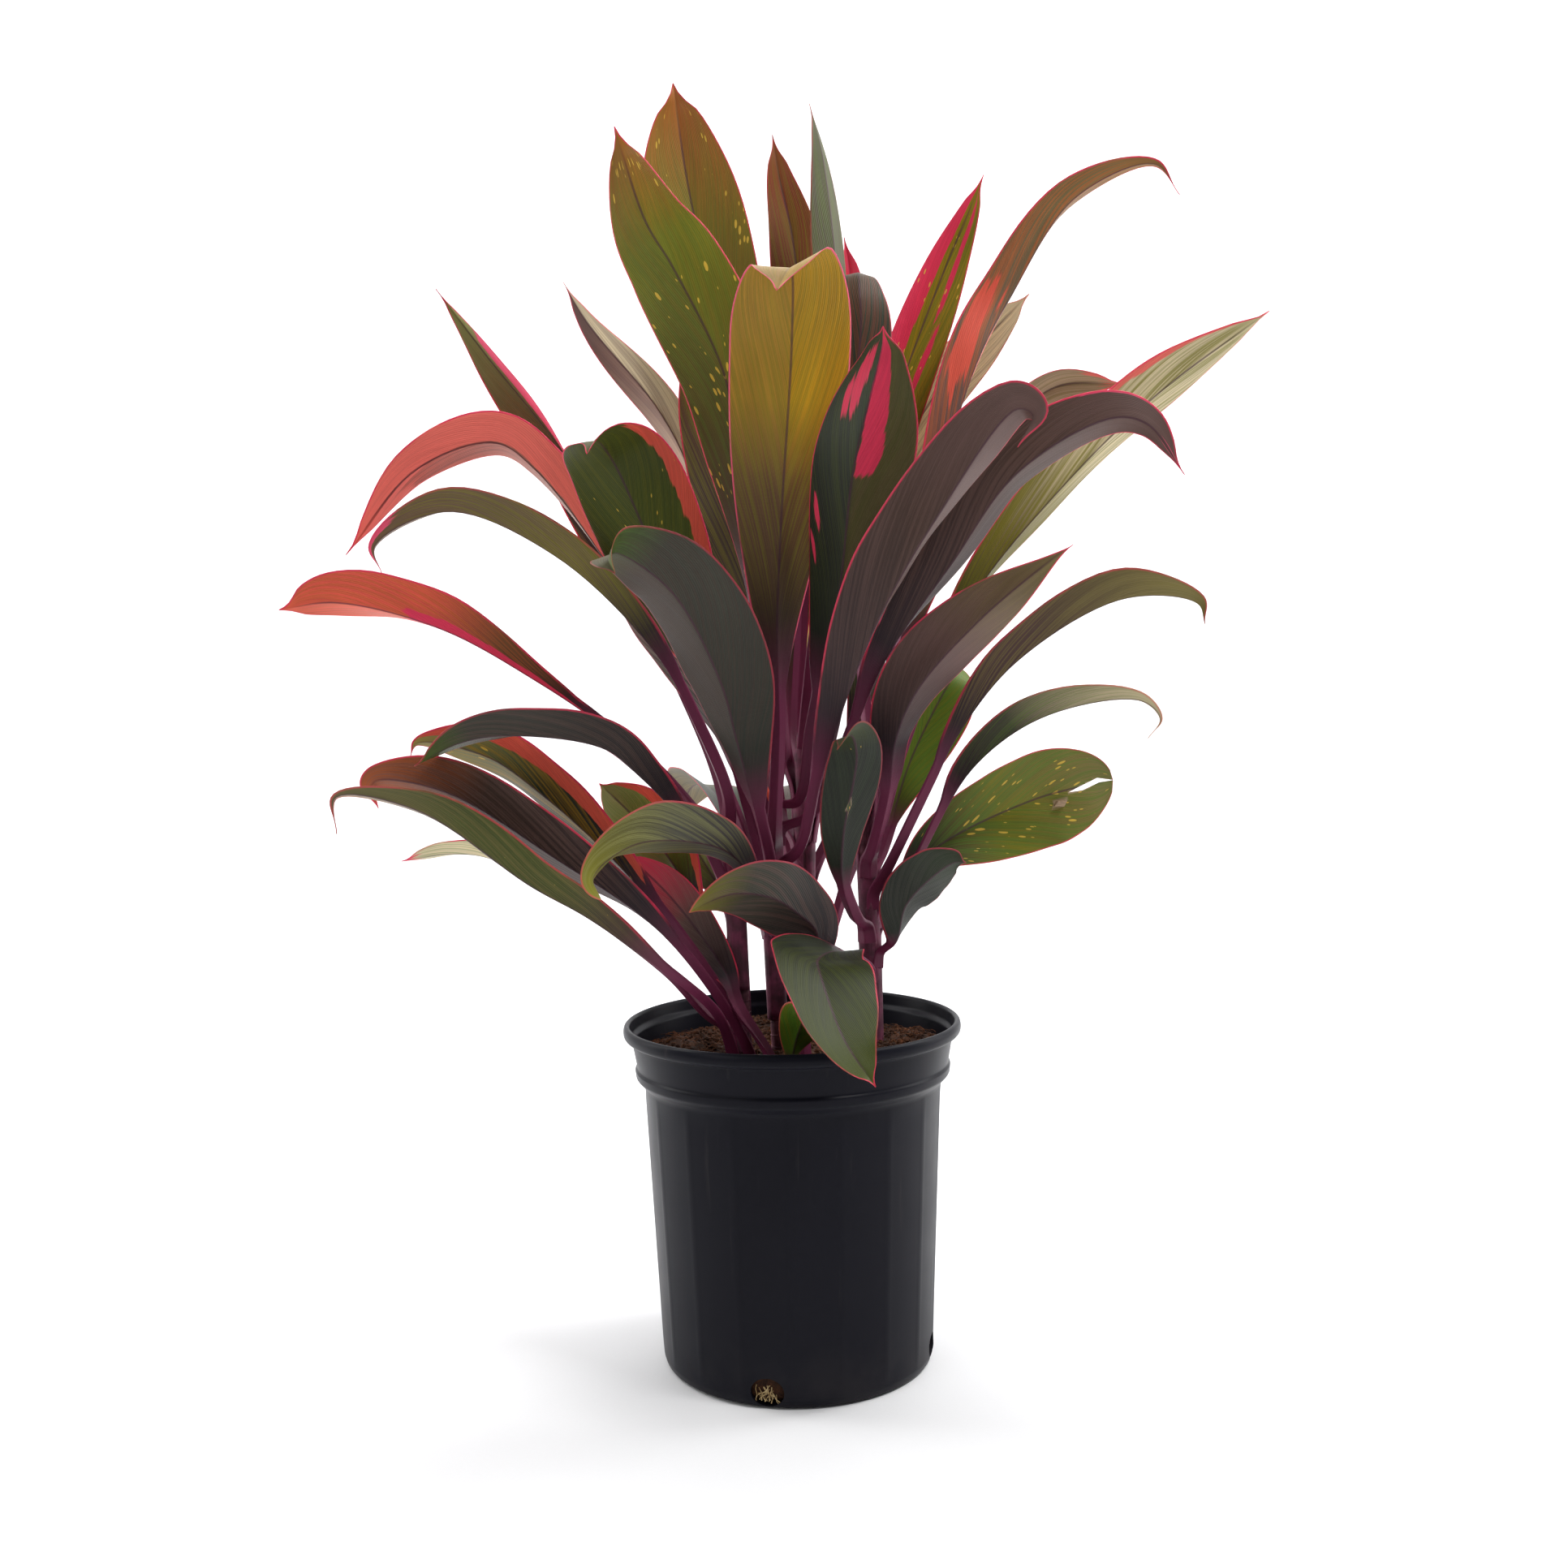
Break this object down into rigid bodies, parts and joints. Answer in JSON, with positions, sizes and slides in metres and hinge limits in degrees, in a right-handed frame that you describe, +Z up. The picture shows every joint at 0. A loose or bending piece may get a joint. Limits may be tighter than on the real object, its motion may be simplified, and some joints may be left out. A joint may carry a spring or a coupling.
{
  "type": "potted hilo rainbow ti plant",
  "caption": "Ti plant with long arching striped leaves on slim upright canes in soil, in a round black nursery pot with a collar, a rolled lip and drain holes.",
  "frame": {"origin": "centre of the pot's base, on the surface that it stands on", "axes": "+Z up along the pot axis, -Y towards the front of the plant, +X to its right as seen from the front"},
  "size_m": [0.7407, 0.5434, 1.0151],
  "materials": {
    "pot_plastic": "black moulded nursery pot, satin, with faint upright flutes",
    "potting_mix": "dark brown bark and coir crumbs",
    "cane_bark": "purple brown cane with rings of old leaf scars",
    "leaf_golden": "olive gold leaf with yellow flecks, fine veins and a thin pink margin",
    "leaf_green": "green leaf with pale yellow streaks and a red margin",
    "leaf_dark": "dark bronze green leaf with soft sheen along its veins",
    "leaf_pink": "pink and bronze striped leaf",
    "leaf_pale": "pale dusky leaf with green and pink stripes"
  },
  "bodies": {
    "root": {"pot": "pot_plastic", "soil": "potting_mix", "left_cane": "cane_bark", "middle_cane": "cane_bark", "right_cane": "cane_bark", "back_cane": "cane_bark", "left_leaf_1": "leaf_pale", "left_leaf_2": "leaf_golden", "left_leaf_3": "leaf_green", "left_leaf_4": "leaf_pale", "left_leaf_5": "leaf_dark", "left_leaf_6": "leaf_pink", "left_leaf_7": "leaf_pink", "left_leaf_8": "leaf_green", "middle_leaf_1": "leaf_pink", "middle_leaf_2": "leaf_dark", "middle_leaf_3": "leaf_dark", "middle_leaf_4": "leaf_dark", "middle_leaf_5": "leaf_dark", "middle_leaf_6": "leaf_golden", "middle_leaf_7": "leaf_dark", "middle_leaf_8": "leaf_green", "middle_leaf_9": "leaf_golden", "middle_leaf_10": "leaf_dark", "middle_leaf_11": "leaf_golden", "right_leaf_1": "leaf_green", "right_leaf_2": "leaf_dark", "right_leaf_3": "leaf_green", "right_leaf_4": "leaf_dark", "right_leaf_5": "leaf_dark", "right_leaf_6": "leaf_dark", "right_leaf_7": "leaf_green", "right_leaf_8": "leaf_dark", "right_leaf_9": "leaf_pale", "right_leaf_10": "leaf_pale", "right_leaf_11": "leaf_pink", "right_leaf_12": "leaf_pale", "back_leaf_1": "leaf_pale", "back_leaf_2": "leaf_pink", "back_leaf_3": "leaf_pink", "back_leaf_4": "leaf_golden", "back_leaf_5": "leaf_golden", "back_leaf_6": "leaf_golden", "back_leaf_7": "leaf_dark", "back_leaf_8": "leaf_dark", "back_leaf_9": "leaf_green", "back_leaf_10": "leaf_dark", "back_leaf_11": "leaf_golden", "back_leaf_12": "leaf_pink", "back_leaf_13": "leaf_green", "back_leaf_14": "leaf_golden", "soil_leaf_1": "leaf_green", "soil_leaf_2": "leaf_dark", "soil_leaf_3": "leaf_green", "soil_leaf_4": "leaf_dark", "soil_leaf_5": "leaf_pale"}
  },
  "joints": []
}
